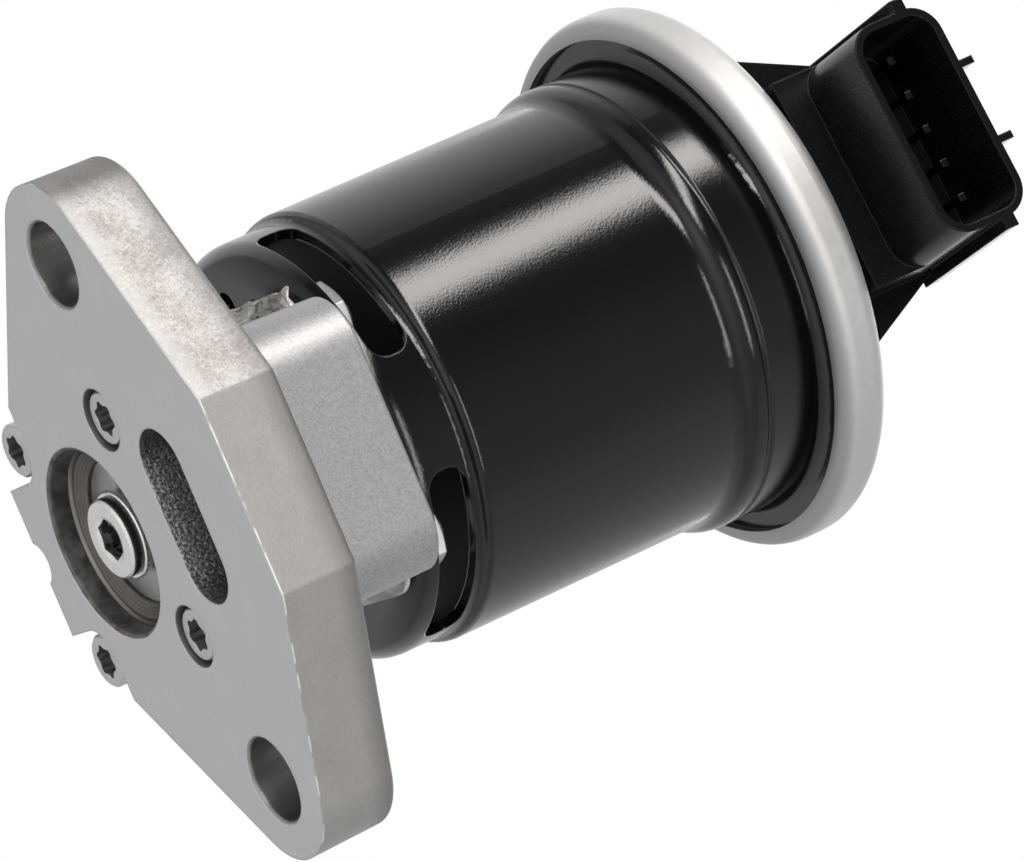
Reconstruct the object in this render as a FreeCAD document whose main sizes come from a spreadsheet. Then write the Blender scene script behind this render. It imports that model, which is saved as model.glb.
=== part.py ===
# EGR valve: a flanged exhaust gas recirculation valve with its solenoid and lift sensor.
# Sizes are in millimetres. The origin lies on the valve's axis at the mounting face,
# +Z runs along the axis to the connector end and +X along the line of the mounting holes.
import FreeCAD, Part
import Sketcher
import math
import os
import re

os.makedirs("parts", exist_ok=True)
doc = FreeCAD.newDocument("egr_valve")
sheet = doc.addObject("Spreadsheet::Sheet", "Sizes")

# Driving dimensions
# Each size stands once, under the piece that it belongs to. Angles are in degrees.
SIZES = {
    # Mounting flange
    "flange_thickness": 9.0,
    "flange_draft": 1.5,
    "flange_back_round": 0.8,
    "hole_spacing": 55.0,
    "hole_line": 15.4,
    "hole_radius": 4.5,
    "hole_bevel": 0.3,
    "flange_end_radius": 8.5,
    "flange_top_half": 10.2,
    "flange_top": 34.1,
    "tab_depth": 4.35,
    "tab_notch_radius": 2.3,
    "bore_radius": 10.0,
    "bore_bevel": 0.45,
    "bore_bevel_depth": 0.3,
    "port_radius": 4.15,
    "port_half_length": 9.3,
    "port_centre": 20.45,
    # Clamp screws and their nuts
    "screw_radius": 2.0,
    "screw_clearance": 0.2,
    "screw_head_radius": 2.9,
    "screw_head_height": 2.6,
    "screw_head_sink": 0.4,
    "screw_head_gap": 0.45,
    "screw_tail": 0.8,
    "head_bevel": 0.25,
    "notch_gap": 0.65,
    "notch_reach": 6.0,
    "lug_margin": 0.9,
    "lobe_reach": 1.67,
    "lobe_turn": 14.0,
    "lobe_depth": 1.5,
    "nut_across": 7.0,
    "nut_height": 4.9,
    "nut_bevel": 0.35,
    "nut_turn": 11.0,
    "nut_room": 1.6,
    # Valve seat
    "seat_shoulder_step": 1.2,
    "seat_shoulder_face": 4.0,
    "seat_ledge": 1.2,
    "seat_back_land": 0.5,
    "seat_land": 0.95,
    "seat_throat_step": 2.2,
    "seat_throat_length": 0.35,
    "seat_rim": 1.1,
    "seat_groove": 0.4,
    # Valve head, its screw and washer
    "seal_gap": 0.07,
    "disc_bevel": 0.87,
    "disc_rim": 1.3,
    "disc_slope": 0.4,
    "disc_hub_radius": 4.0,
    "disc_hub_rise": 1.1,
    "washer_radius": 4.7,
    "washer_thickness": 0.5,
    "washer_bevel": 0.15,
    "head_radius": 4.25,
    "head_height": 1.25,
    "head_shank": 3.0,
    "head_grip": 3.1,
    "socket_across": 4.0,
    "socket_depth": 2.4,
    "socket_turn": 12.0,
    # Stem, guide and seal
    "stem_radius": 3.0,
    "stem_collar": 4.4,
    "stem_collar_height": 3.0,
    "stem_cone": 1.0,
    "stem_spigot": 2.2,
    "stem_tail": 0.8,
    "end_bevel": 0.3,
    "running_gap": 0.04,
    "lift": 4.0,
    "lift_room": 0.18,
    "guide_radius": 5.4,
    "guide_length": 4.2,
    "guide_overhang": 1.7,
    "guide_bevel": 0.5,
    "stem_seal_step": 1.0,
    "stem_seal_lip": 0.8,
    # Cast valve body and the gaskets on both sides of it
    "gasket_thickness": 0.5,
    "body_roof": 5.2,
    "body_side_wall": 3.0,
    "body_low_wall": 5.2,
    "body_high_wall": 3.4,
    "body_corner": 6.1,
    "body_draft": 0.8,
    "passage_half": 7.2,
    "insulator_thickness": 0.6,
    "insulator_margin": 1.7,
    "insulator_high_wall": 5.8,
    "insulator_corner": 4.0,
    # Drawn solenoid cover
    "sheet_thickness": 1.2,
    "cover_radius": 23.6,
    "cover_base_round": 3.4,
    "cover_mouth": 6.2,
    "neck_height": 7.85,
    "shoulder_step": 0.9,
    "shoulder_rise": 1.65,
    "ledge_rise": 0.1,
    "flare_step": 1.2,
    "flare_rise": 3.2,
    "flare_drop": 7.5,
    "bead_drop": 6.9,
    "bead_half": 0.4,
    "bead_depth": 0.25,
    "rim_rise": 8.0,
    "rim_round": 1.3,
    "rim_width": 4.4,
    "window_rise": 3.2,
    "window_height": 4.5,
    "window_half": 11.0,
    "window_round": 1.9,
    "drain_inset": 5.9,
    "drain_bearing": 7.9,
    "drain_radius": 1.6,
    # Solenoid
    "lower_pole_height": 3.0,
    "pole_gap": 0.05,
    "armature_radius": 9.0,
    "armature_sink": 0.6,
    "armature_height": 15.4,
    "armature_recess_depth": 2.4,
    "armature_nut_across": 5.5,
    "armature_nut_height": 2.2,
    "air_gap": 0.6,
    "tube_wall": 0.7,
    "tube_drop": 2.6,
    "bobbin_wall": 1.2,
    "bobbin_flange": 1.5,
    "bobbin_gap": 0.8,
    "winding_inset": 1.0,
    "coil_height": 26.0,
    "upper_pole_height": 3.6,
    "spring_pocket_depth": 5.6,
    "contact_place": 14.0,
    "contact_width": 2.0,
    "contact_thickness": 0.8,
    "contact_gap": 0.8,
    # Return spring
    "spring_radius": 4.4,
    "spring_wire": 0.5,
    "spring_turns": 6.0,
    "spring_gap": 0.4,
    # Crimp ring
    "ring_wall": 1.6,
    "ring_front_wall": 0.9,
    "ring_front_grip": 0.5,
    "ring_back_grip": 1.6,
    "ring_back_wall": 0.8,
    "ring_round": 1.9,
    "cap_disc_height": 2.8,
    # Sensor cap with its connector
    "connector_turn": 9.0,
    "cap_spigot_length": 5.3,
    "cap_spigot_gap": 0.1,
    "cap_spigot_taper": 0.6,
    "cap_skirt_wall": 2.0,
    "cap_skirt_depth": 4.0,
    "cap_deck_rise": 0.4,
    "cap_deck_wall": 1.8,
    "cap_height": 14.0,
    "cap_half_width": 11.75,
    "cap_back": 13.5,
    "cap_back_round": 6.0,
    "cap_root": 0.4,
    "sensor_bore": 9.6,
    "sensor_roof_wall": 1.8,
    "mouth_overhang": 8.9,
    "mouth_length": 11.5,
    "mouth_depth": 12.5,
    "mouth_height": 10.6,
    "mouth_round": 3.3,
    "mouth_wall": 0.85,
    "rail_height": 1.5,
    "rail_width": 1.25,
    "rail_drop": 3.4,
    "rail_length": 19.5,
    "peg_place": 4.3,
    "peg_width": 0.8,
    "peg_height": 1.6,
    "peg_length": 5.0,
    "latch_half": 1.7,
    "latch_height": 1.3,
    "latch_length": 3.6,
    "latch_inset": 5.0,
    "gusset_width": 4.65,
    "gusset_thickness": 1.4,
    # Seal ring under the cap
    "seal_wire": 0.5,
    "seal_inset": 1.15,
    "seal_side_gap": 0.1,
    # Connector pins
    "pin_count": 5,
    "pin_pitch": 3.9,
    "pin_width": 0.8,
    "pin_length": 9.6,
    "pin_root_reach": 1.0,
    # Lift sensor
    "plunger_radius": 1.6,
    "plunger_gap": 0.3,
    "plunger_bevel": 0.4,
    "plunger_guide_height": 3.0,
    "carriage_rise": 2.1,
    "carriage_height": 3.0,
    "carriage_half": 3.5,
    "nub_radius": 1.5,
    "nub_height": 2.0,
    "board_inset": 3.6,
    "board_thickness": 0.8,
    "wiper_half": 2.0,
    "wiper_sheet": 0.3,
    "wiper_gap": 0.1,
    "wiper_length": 2.0,
    "wiper_reach": 1.6,
    "sensor_spring_radius": 2.3,
    "sensor_spring_wire": 0.3,
    "sensor_spring_turns": 7.0,
}

# Places worked out from the driving dimensions, written once for every piece that shares them
PLACES = {
    # Across the axis
    "cover_bore": "cover_radius - sheet_thickness",
    "cover_neck_radius": "cover_radius - shoulder_step",
    "cover_neck_bore": "cover_neck_radius - sheet_thickness",
    "flare_radius": "cover_radius + flare_step",
    "flare_bore": "flare_radius - sheet_thickness",
    "rim_radius": "cover_radius + rim_width",
    "ring_radius": "rim_radius + ring_wall",
    "ring_back_throat": "rim_radius - ring_back_grip",
    "seal_radius": "rim_radius - seal_inset",
    "seal_groove_inner": "seal_radius - seal_wire - seal_side_gap",
    "seal_groove_outer": "seal_radius + seal_wire + seal_side_gap",
    "cap_spigot": "flare_bore - cap_spigot_gap",
    "screw_offset": "(cover_neck_bore - nut_across / 2 - nut_room) / sqrt(2)",
    "screw_hole": "screw_radius + screw_clearance",
    "head_pocket": "screw_head_radius + screw_head_gap",
    "notch_round": "screw_head_radius + notch_gap",
    "notch_edge": "screw_offset - notch_round",
    "notch_end": "screw_offset + notch_reach",
    "tab_edge": "screw_offset + tab_depth",
    "hole_x": "hole_spacing / 2",
    "slope": "atan2(hole_line - flange_top; hole_x - flange_top_half) + asin(flange_end_radius /"
             " sqrt((hole_x - flange_top_half)^2 + (hole_line - flange_top)^2))",
    "bevel_reach": "flange_end_radius * sin(45)",
    "bevel_line": "hole_x + bevel_reach - (hole_line - bevel_reach)",
    "port_end": "port_half_length - port_radius",
    "seat_shoulder": "bore_radius + seat_shoulder_step",
    "seat_throat": "bore_radius - seat_throat_step",
    "disc_face_radius": "seat_throat - seal_gap",
    "disc_radius": "disc_face_radius + disc_bevel",
    "stem_bore": "stem_radius + running_gap",
    "stem_seal_radius": "guide_radius + stem_seal_step",
    "body_half_width": "screw_offset + body_side_wall",
    "body_low": "screw_offset + body_low_wall",
    "body_high": "port_centre + port_radius + body_high_wall",
    "body_foot_half": "body_half_width + body_height * tan(body_draft)",
    "insulator_half_width": "body_half_width + insulator_margin",
    "insulator_high": "screw_offset + insulator_high_wall",
    "spring_side": "spring_radius + spring_wire + spring_gap",
    "tube_bore": "armature_radius + running_gap",
    "tube_radius": "tube_bore + tube_wall",
    "bobbin_core": "tube_radius + bobbin_wall",
    "bobbin_radius": "cover_bore - bobbin_gap",
    "winding_radius": "bobbin_radius - winding_inset",
    "plunger_bore": "plunger_radius + running_gap",
    "board_face": "sensor_bore - board_inset",
    "carriage_front": "board_face - wiper_length",
    "mouth_reach": "ring_radius + mouth_overhang",
    "mouth_floor": "mouth_reach - mouth_depth",
    "cap_front": "mouth_reach - mouth_length",
    "rail_start": "mouth_reach - rail_length",
    "pin_root": "sensor_bore - pin_root_reach",
    # Up the axis: flange, seat and valve head
    "head_seat": "screw_head_sink + screw_head_height",
    "seat_back": "seat_shoulder_face + seat_ledge",
    "seat_line": "seat_back - seat_back_land - seat_land",
    "seat_lip": "seat_line - seat_throat_length",
    "seat_face": "seat_lip - seat_rim",
    "disc_front": "seat_line",
    "disc_hub_front": "disc_front - disc_hub_rise",
    "washer_front": "disc_hub_front - washer_thickness",
    "head_front": "washer_front - head_height",
    "disc_rim_top": "disc_front + disc_bevel + disc_rim",
    "stem_foot": "disc_rim_top + disc_slope",
    "grip_end": "stem_foot + head_grip",
    "stem_collar_top": "stem_foot + stem_collar_height",
    # Up the axis: valve body and cover
    "body_front": "flange_thickness + gasket_thickness",
    "guide_low": "stem_collar_top + stem_cone + lift + lift_room",
    "guide_top": "guide_low + guide_length",
    "chamber_top": "guide_low + guide_overhang",
    "chamber_depth": "chamber_top - body_front",
    "body_back": "chamber_top + body_roof",
    "body_height": "body_back - body_front",
    "cover_base": "body_back + insulator_thickness",
    "cover_floor": "cover_base + sheet_thickness",
    "nut_top": "cover_floor + nut_height",
    "window_low": "cover_base + window_rise",
    "shoulder_low": "cover_base + neck_height",
    "shoulder_high": "shoulder_low + shoulder_rise",
    "shoulder_bend": "((shoulder_step / 2)^2 + (shoulder_rise / 2)^2) / shoulder_step",
    "flare_high": "rim_face - flare_drop",
    "flare_low": "flare_high - flare_rise",
    "flare_bend": "((flare_step / 2)^2 + (flare_rise / 2)^2) / flare_step",
    "bead_bend": "(bead_half^2 + bead_depth^2) / (2 * bead_depth)",
    "bead_height": "rim_face - bead_drop",
    "rim_face": "upper_pole_top + rim_rise",
    "rim_back": "rim_face + sheet_thickness",
    # Up the axis: solenoid
    "pole_ledge": "shoulder_high + ledge_rise",
    "lower_pole_top": "pole_ledge + lower_pole_height",
    "armature_low": "lower_pole_top - armature_sink",
    "armature_top": "armature_low + armature_height",
    "recess_floor": "armature_top - armature_recess_depth",
    "stem_top": "recess_floor + armature_nut_height + stem_tail",
    "coil_low": "lower_pole_top + bobbin_flange",
    "bobbin_top": "lower_pole_top + coil_height",
    "coil_top": "bobbin_top - bobbin_flange",
    "tube_top": "bobbin_top - tube_drop",
    "upper_pole_top": "bobbin_top + upper_pole_height",
    "core_face": "armature_top + lift + air_gap",
    "spring_roof": "core_face + spring_pocket_depth",
    # Up the axis: ring, cap and sensor
    "ring_front": "rim_face - ring_front_wall",
    "cap_disc_back": "rim_back + cap_disc_height",
    "ring_back": "cap_disc_back + ring_back_wall",
    "cap_spigot_foot": "rim_face - cap_spigot_length",
    "cap_floor": "cap_spigot_foot + cap_skirt_depth",
    "cap_deck": "ring_back + cap_deck_rise",
    "contact_top": "cap_deck - cap_deck_wall",
    "cap_top": "cap_deck + cap_height",
    "mouth_low": "cap_top - mouth_height",
    "rail_line": "cap_top - rail_drop",
    "pin_line": "(mouth_low + cap_top) / 2",
    "sensor_roof": "cap_top - sensor_roof_wall",
    "plunger_foot": "stem_top + plunger_gap",
    "guide_disc_top": "cap_floor + plunger_guide_height",
    "carriage_low": "guide_disc_top + carriage_rise",
    "carriage_top": "carriage_low + carriage_height",
    "wiper_line": "carriage_low + carriage_height / 2",
    "wiper_tip": "board_face - wiper_gap",
}

for row, (alias, size) in enumerate(SIZES.items(), start=1):
    sheet.set("A%d" % row, alias)
    sheet.set("B%d" % row, str(size))
    sheet.setAlias("B%d" % row, alias)
doc.recompute()


def bound(text):
    """Lead every size and place named in a formula back to the sheet's cells."""
    def lead(match):
        word = match.group()
        if word in PLACES:
            return "(" + bound(PLACES[word]) + ")"
        return "Sizes." + word if word in SIZES else word
    return re.sub(r"[a-z][a-z_0-9]*", lead, text)


def number(text):
    """Give a formula's value, for the first drawing of a sketch."""
    value = sheet.evalExpression(bound(text))
    return float(getattr(value, "Value", value))


def new_body(label):
    body = doc.addObject("PartDesign::Body", label)
    body.Label = label
    body.AllowCompound = True
    return body


def origin_part(body, role):
    return next(item for item in body.Origin.OriginFeatures if item.Role == role)


def new_sketch(body, name, plane="XY_Plane", height="0"):
    """Start a sketch on one of the body's own planes, moved along that plane's normal."""
    sketch = body.newObject("Sketcher::SketchObject", name)
    sketch.AttachmentSupport = [(origin_part(body, plane), "")]
    sketch.MapMode = "FlatFace"
    if height != "0":
        sketch.setExpression("AttachmentOffset.Base.z", bound(height))
    return sketch


def hold(sketch, item, end, x, y):
    """Hold one point of a sketch at two formulas."""
    for kind, axis, text in (("DistanceX", -2, x), ("DistanceY", -1, y)):
        if text == "0":
            sketch.addConstraint(Sketcher.Constraint("PointOnObject", item, end, axis))
        else:
            rule = Sketcher.Constraint(kind, -1, 1, item, end, number(text))
            sketch.setExpression("Constraints[%d]" % sketch.addConstraint(rule), bound(text))


def hold_radius(sketch, item, text):
    rule = Sketcher.Constraint("Radius", item, number(text))
    sketch.setExpression("Constraints[%d]" % sketch.addConstraint(rule), bound(text))


def arc_between(here, there, radius, side):
    """Give the arc under half a turn from one point to the next, bending left or right."""
    run = there - here
    rise = math.sqrt(radius ** 2 - (run.Length / 2) ** 2)
    across = FreeCAD.Vector(-run.y, run.x, 0) * (side * rise / run.Length)
    centre = (here + there) * 0.5 + across
    circle = Part.Circle(centre, FreeCAD.Vector(0, 0, 1), radius)
    turns = [math.atan2(point.y - centre.y, point.x - centre.x) for point in (here, there)]
    return Part.ArcOfCircle(circle, *(turns if side > 0 else turns[::-1]))


LEFT = 1
RIGHT = -1


def draw(sketch, corners):
    """Draw a closed outline: a corner is x and y, and may add the radius and side of an arc."""
    spots = [FreeCAD.Vector(number(corner[0]), number(corner[1]), 0) for corner in corners]
    ends = []
    for place, corner in enumerate(corners):
        here = spots[place]
        there = spots[(place + 1) % len(spots)]
        if len(corner) == 2:
            item = sketch.addGeometry(Part.LineSegment(here, there), False)
            ends.append((item, 1, 2))
        else:
            bend = arc_between(here, there, number(corner[2]), corner[3])
            item = sketch.addGeometry(bend, False)
            ends.append((item, 1, 2) if corner[3] > 0 else (item, 2, 1))
    for place, corner in enumerate(corners):
        item, first, last = ends[place]
        following = ends[(place + 1) % len(ends)]
        sketch.addConstraint(Sketcher.Constraint("Coincident", item, last, *following[:2]))
        hold(sketch, item, first, corner[0], corner[1])
    for place, corner in enumerate(corners):
        if len(corner) == 4:
            hold_radius(sketch, ends[place][0], corner[2])


def draw_circle(sketch, x, y, radius):
    centre = FreeCAD.Vector(number(x), number(y), 0)
    item = sketch.addGeometry(Part.Circle(centre, FreeCAD.Vector(0, 0, 1), number(radius)), False)
    hold(sketch, item, 3, x, y)
    hold_radius(sketch, item, radius)


def draw_slot(sketch, half, y, radius):
    """Draw a slot with round ends along X, its end centres at half on both sides."""
    reach, level, round_end = number(half), number(y), number(radius)
    up = FreeCAD.Vector(0, 0, 1)
    ends = []
    for side in (1, -1):
        circle = Part.Circle(FreeCAD.Vector(side * reach, level, 0), up, round_end)
        start = -side * math.pi / 2
        ends.append(sketch.addGeometry(Part.ArcOfCircle(circle, start, start + math.pi), False))
    low = FreeCAD.Vector(reach, level - round_end, 0)
    high = FreeCAD.Vector(reach, level + round_end, 0)
    flip = FreeCAD.Vector(-2 * reach, 0, 0)
    right, left = ends
    bottom = sketch.addGeometry(Part.LineSegment(low + flip, low), False)
    top = sketch.addGeometry(Part.LineSegment(high, high + flip), False)
    sketch.addConstraint(Sketcher.Constraint("Tangent", bottom, 2, right, 1))
    sketch.addConstraint(Sketcher.Constraint("Tangent", right, 2, top, 1))
    sketch.addConstraint(Sketcher.Constraint("Tangent", top, 2, left, 1))
    sketch.addConstraint(Sketcher.Constraint("Tangent", left, 2, bottom, 1))
    hold(sketch, right, 3, half, y)
    index = sketch.addConstraint(Sketcher.Constraint("DistanceX", -1, 1, left, 3, -reach))
    sketch.setExpression("Constraints[%d]" % index, bound("-(%s)" % half))
    hold_radius(sketch, right, radius)


def rounded_box(low_x, high_x, low_y, high_y, radius):
    """List the corners of a rectangle whose four corners share one radius."""
    return [
        ("%s + %s" % (low_x, radius), low_y),
        ("%s - %s" % (high_x, radius), low_y, radius, LEFT),
        (high_x, "%s + %s" % (low_y, radius)),
        (high_x, "%s - %s" % (high_y, radius), radius, LEFT),
        ("%s - %s" % (high_x, radius), high_y),
        ("%s + %s" % (low_x, radius), high_y, radius, LEFT),
        (low_x, "%s - %s" % (high_y, radius)),
        (low_x, "%s + %s" % (low_y, radius), radius, LEFT),
    ]


def plain_box(low_x, high_x, low_y, high_y):
    return [(low_x, low_y), (high_x, low_y), (high_x, high_y), (low_x, high_y)]


def hexagon(x, y, across, turn):
    """List the corners of a hexagon round a centre, from its size across flats."""
    corners = []
    for place in range(6):
        reach = "%s / 2 / cos(30)" % across
        angle = "%s + %d" % (turn, 60 * place)
        corners.append(("%s + %s * cos(%s)" % (x, reach, angle),
                        "%s + %s * sin(%s)" % (y, reach, angle)))
    return corners


def pad(body, sketch, length, reverse=False, taper=None):
    feature = body.newObject("PartDesign::Pad", sketch.Name + "_pad")
    feature.Profile = sketch
    feature.Reversed = reverse
    feature.setExpression("Length", bound(length))
    if taper:
        feature.setExpression("TaperAngle", bound(taper))
    doc.recompute()
    return feature


def pocket(body, sketch, depth):
    """Cut a sketch's shape out along the normal of its plane."""
    feature = body.newObject("PartDesign::Pocket", sketch.Name + "_pocket")
    feature.Profile = sketch
    feature.Reversed = True
    feature.setExpression("Length", bound(depth))
    doc.recompute()
    return feature


def spin(body, name, corners, kind="PartDesign::Revolution", move=None):
    """Revolve a profile of radius and height about the Z axis, or about a line beside it."""
    sketch = new_sketch(body, name, "XZ_Plane")
    if move:
        sketch.setExpression("AttachmentOffset.Base.x", bound(move[0]))
        sketch.setExpression("AttachmentOffset.Base.z", bound("-(%s)" % move[1]))
    draw(sketch, corners)
    feature = body.newObject(kind, name + "_turn")
    feature.Profile = sketch
    feature.ReferenceAxis = (sketch, ["V_Axis"])
    feature.Angle = 360
    doc.recompute()
    return feature


def turned(label, corners):
    """Make a turned piece from its half section."""
    body = new_body(label)
    spin(body, label + "_section", corners)
    return body


def repeat_round(body, features, count):
    pattern = body.newObject("PartDesign::PolarPattern", body.Name + "_pattern")
    pattern.Originals = features
    pattern.Axis = (origin_part(body, "Z_Axis"), [""])
    pattern.Angle = 360
    pattern.Occurrences = count
    body.Tip = pattern
    doc.recompute()
    return pattern


def edges_where(feature, test):
    """Name the edges of a feature whose points all pass a test."""
    names = []
    for place, edge in enumerate(feature.Shape.Edges, start=1):
        if all(test(point) for point in edge.discretize(5)):
            names.append("Edge%d" % place)
    return names


def dress(body, kind, feature, names, size):
    """Round or bevel the named edges of a feature."""
    finish = body.newObject("PartDesign::" + kind, feature.Name + "_" + kind.lower())
    finish.Base = (feature, names)
    finish.setExpression("Radius" if kind == "Fillet" else "Size", bound(size))
    doc.recompute()
    return finish


def turn_to_connector(body):
    """Turn a piece that is drawn with its connector along +Y to the connector's real bearing."""
    up = FreeCAD.Vector(0, 0, 1)
    body.Placement = FreeCAD.Placement(FreeCAD.Vector(), FreeCAD.Rotation(up, -1))
    body.setExpression("Placement.Rotation.Angle", bound("-connector_turn"))


# Mounting flange
# A plate with two bolt ears, a square nose between the lower clamp screws and a half-round
# notch in that nose. Behind the open corners beside the nose, round lugs carry the lower
# screws. The round bore takes the valve seat and the oval port returns the gas.
def mounting_flange():
    body = new_body("mounting_flange")
    outline = [
        ("-flange_top_half", "flange_top"),
        ("-(hole_x - flange_end_radius * sin(slope))", "hole_line + flange_end_radius * cos(slope)",
         "flange_end_radius", LEFT),
        ("-(hole_x + bevel_reach)", "hole_line - bevel_reach"),
        ("-(bevel_line - tab_edge)", "-tab_edge"),
        ("-tab_notch_radius * 0.96", "-tab_edge", "tab_notch_radius", RIGHT),
        ("tab_notch_radius * 0.96", "-tab_edge"),
        ("bevel_line - tab_edge", "-tab_edge"),
        ("hole_x + bevel_reach", "hole_line - bevel_reach", "flange_end_radius", LEFT),
        ("hole_x - flange_end_radius * sin(slope)", "hole_line + flange_end_radius * cos(slope)"),
        ("flange_top_half", "flange_top"),
    ]
    sketch = new_sketch(body, "flange_outline")
    draw(sketch, outline)
    plate = pad(body, sketch, "flange_thickness", taper="-flange_draft")
    back = number("flange_thickness")
    rounded = dress(body, "Fillet", plate, edges_where(plate, lambda p: abs(p.z - back) < 0.01),
                    "flange_back_round")
    lugs = new_sketch(body, "flange_lugs")
    for side in ("", "-"):
        draw_circle(lugs, side + "screw_offset", "-screw_offset", "screw_head_radius + lug_margin")
    pad(body, lugs, "flange_thickness")
    spin(body, "flange_bore", [
        ("0", "0"),
        ("bore_radius + bore_bevel", "0"),
        ("bore_radius", "bore_bevel_depth"),
        ("bore_radius", "seat_shoulder_face"),
        ("seat_shoulder", "seat_shoulder_face"),
        ("seat_shoulder", "flange_thickness"),
        ("0", "flange_thickness"),
    ], "PartDesign::Groove")
    holes = new_sketch(body, "flange_holes")
    for side in ("", "-"):
        draw_circle(holes, side + "hole_x", "hole_line", "hole_radius")
        for end in ("", "-"):
            draw_circle(holes, side + "screw_offset", end + "screw_offset", "screw_hole")
    draw_slot(holes, "port_end", "port_centre", "port_radius")
    pocket(body, holes, "flange_thickness")
    sinks = new_sketch(body, "flange_screw_sinks")
    for side in ("", "-"):
        draw_circle(sinks, side + "screw_offset", "screw_offset", "head_pocket")
    draw(sinks, [
        ("screw_offset", "-notch_edge", "notch_round", LEFT),
        ("notch_edge", "-screw_offset"),
        ("notch_edge", "-tab_edge - tab_notch_radius"),
        ("notch_end", "-tab_edge - tab_notch_radius"),
        ("notch_end", "-notch_edge"),
    ])
    draw(sinks, [
        ("-notch_edge", "-screw_offset", "notch_round", LEFT),
        ("-screw_offset", "-notch_edge"),
        ("-notch_end", "-notch_edge"),
        ("-notch_end", "-tab_edge - tab_notch_radius"),
        ("-notch_edge", "-tab_edge - tab_notch_radius"),
    ])
    cut = pocket(body, sinks, "head_seat")
    reach = number("hole_radius")
    ear = number("hole_x")
    level = number("hole_line")

    def on_bolt_hole(p):
        return p.z < 0.01 and abs(math.hypot(abs(p.x) - ear, p.y - level) - reach) < 0.01

    dress(body, "Chamfer", cut, edges_where(cut, on_bolt_hole), "hole_bevel")
    return body


def draw_body_foot(sketch):
    """Draw the outline that the valve body and its gasket share."""
    draw(sketch, rounded_box("-body_foot_half", "body_foot_half", "-body_low", "body_high",
                             "body_corner"))


# Gasket between flange and valve body, cut to the body's foot
def body_gasket():
    body = new_body("body_gasket")
    sketch = new_sketch(body, "gasket_outline", height="flange_thickness")
    draw_body_foot(sketch)
    draw_circle(sketch, "0", "0", "seat_shoulder")
    draw_slot(sketch, "port_end", "port_centre", "port_radius")
    for side in ("", "-"):
        for end in ("", "-"):
            draw_circle(sketch, side + "screw_offset", end + "screw_offset", "screw_hole")
    pad(body, sketch, "gasket_thickness")
    return body


# Cast valve body
# A drafted block that carries the gas from the seat up, round the stem and back to the oval
# port. Its roof holds the stem's guide bush and seal.
def valve_body():
    body = new_body("valve_body")
    sketch = new_sketch(body, "body_outline", height="body_front")
    draw_body_foot(sketch)
    pad(body, sketch, "body_height", taper="-body_draft")
    chamber = new_sketch(body, "body_chamber", height="body_front")
    draw_circle(chamber, "0", "0", "seat_shoulder")
    pocket(body, chamber, "chamber_depth")
    passage = new_sketch(body, "body_passage", height="body_front")
    draw(passage, plain_box("-passage_half", "passage_half", "disc_hub_radius", "port_centre"))
    pocket(body, passage, "chamber_depth")
    port = new_sketch(body, "body_port", height="body_front")
    draw_slot(port, "port_end", "port_centre", "port_radius")
    pocket(body, port, "chamber_depth")
    spin(body, "body_guide_bore", [
        ("0", "chamber_top"),
        ("guide_radius", "chamber_top"),
        ("guide_radius", "guide_top"),
        ("stem_seal_radius", "guide_top"),
        ("stem_seal_radius", "body_back"),
        ("0", "body_back"),
    ], "PartDesign::Groove")
    holes = new_sketch(body, "body_screw_holes", height="body_front")
    for side in ("", "-"):
        for end in ("", "-"):
            draw_circle(holes, side + "screw_offset", end + "screw_offset", "screw_hole")
    pocket(body, holes, "body_height")
    return body


# Heat insulating gasket under the solenoid cover, a little wider than the body it lies on
def insulator_gasket():
    body = new_body("insulator_gasket")
    sketch = new_sketch(body, "insulator_outline", height="body_back")
    draw(sketch, rounded_box("-insulator_half_width", "insulator_half_width", "-body_low",
                             "insulator_high", "insulator_corner"))
    draw_circle(sketch, "0", "0", "cover_mouth")
    for side in ("", "-"):
        for end in ("", "-"):
            draw_circle(sketch, side + "screw_offset", end + "screw_offset", "screw_hole")
    pad(body, sketch, "insulator_thickness")
    return body


# Valve seat ring, put in from the back of the flange against its shoulder
def valve_seat():
    return turned("valve_seat", [
        ("bore_radius", "seat_face"),
        ("bore_radius - seat_groove / 2", "seat_face"),
        ("bore_radius - seat_groove", "seat_face + seat_groove"),
        ("bore_radius - seat_groove * 2", "seat_face + seat_groove * 0.75"),
        ("seat_throat", "seat_lip"),
        ("seat_throat", "seat_line"),
        ("seat_throat + seat_land", "seat_line + seat_land"),
        ("seat_throat + seat_land + seat_back_land", "seat_back"),
        ("seat_shoulder", "seat_back"),
        ("seat_shoulder", "seat_shoulder_face"),
        ("bore_radius", "seat_shoulder_face"),
    ])


# Clamp screws
# Four low-headed screws with six-lobed recesses, through flange, body, gaskets and cover.
def flange_screws():
    body = new_body("flange_screws")
    shape = spin(body, "screw_section", [
        ("0", "screw_head_sink"),
        ("screw_head_radius - head_bevel", "screw_head_sink"),
        ("screw_head_radius", "screw_head_sink + head_bevel"),
        ("screw_head_radius", "head_seat"),
        ("screw_radius", "head_seat"),
        ("screw_radius", "nut_top + screw_tail"),
        ("0", "nut_top + screw_tail"),
    ], move=("screw_offset", "screw_offset"))
    lobes = []
    for place in range(6):
        for sign, radius, side in (("-", "lobe_reach * 0.3", LEFT), ("+", "lobe_reach * 0.55", RIGHT)):
            angle = "%d %s lobe_turn" % (60 * place, sign)
            lobes.append(("screw_offset + lobe_reach * cos(%s)" % angle,
                          "screw_offset + lobe_reach * sin(%s)" % angle, radius, side))
    recess = new_sketch(body, "screw_recess", height="screw_head_sink")
    draw(recess, lobes)
    socket = pocket(body, recess, "lobe_depth")
    repeat_round(body, [shape, socket], 4)
    return body


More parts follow.
